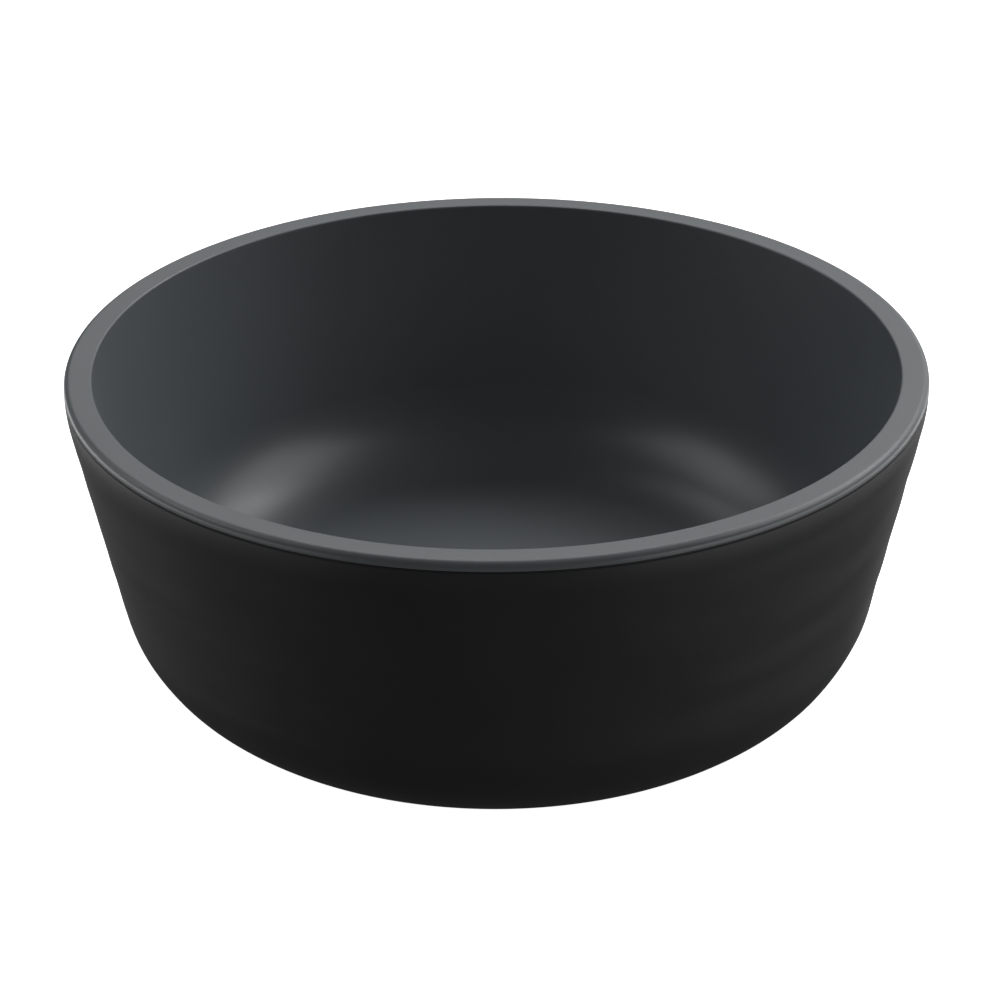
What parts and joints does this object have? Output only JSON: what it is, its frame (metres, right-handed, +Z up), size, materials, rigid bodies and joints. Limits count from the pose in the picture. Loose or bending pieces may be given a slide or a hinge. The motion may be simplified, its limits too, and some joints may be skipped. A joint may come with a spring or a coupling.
{
  "type": "mixing bowl",
  "caption": "Round straight-sided mixing bowl with rounded lower corners and a thick flat rim, moulded in two layers: a dark outer shell and a grey liner that caps its top edge.",
  "frame": {"origin": "centre of the plane that the foot ring rests on", "axes": "+Z up along the bowl's axis of revolution, out of its mouth; X and Y are any pair of directions across it, as the bowl is round"},
  "size_m": [0.15, 0.15, 0.06],
  "materials": {
    "outer_shell": "matt black, faintly rippled in rings",
    "inner_liner": "matt mid grey, smooth, soft sheen"
  },
  "bodies": {
    "root": {"outer_shell": "outer_shell", "inner_liner": "inner_liner"}
  },
  "joints": []
}
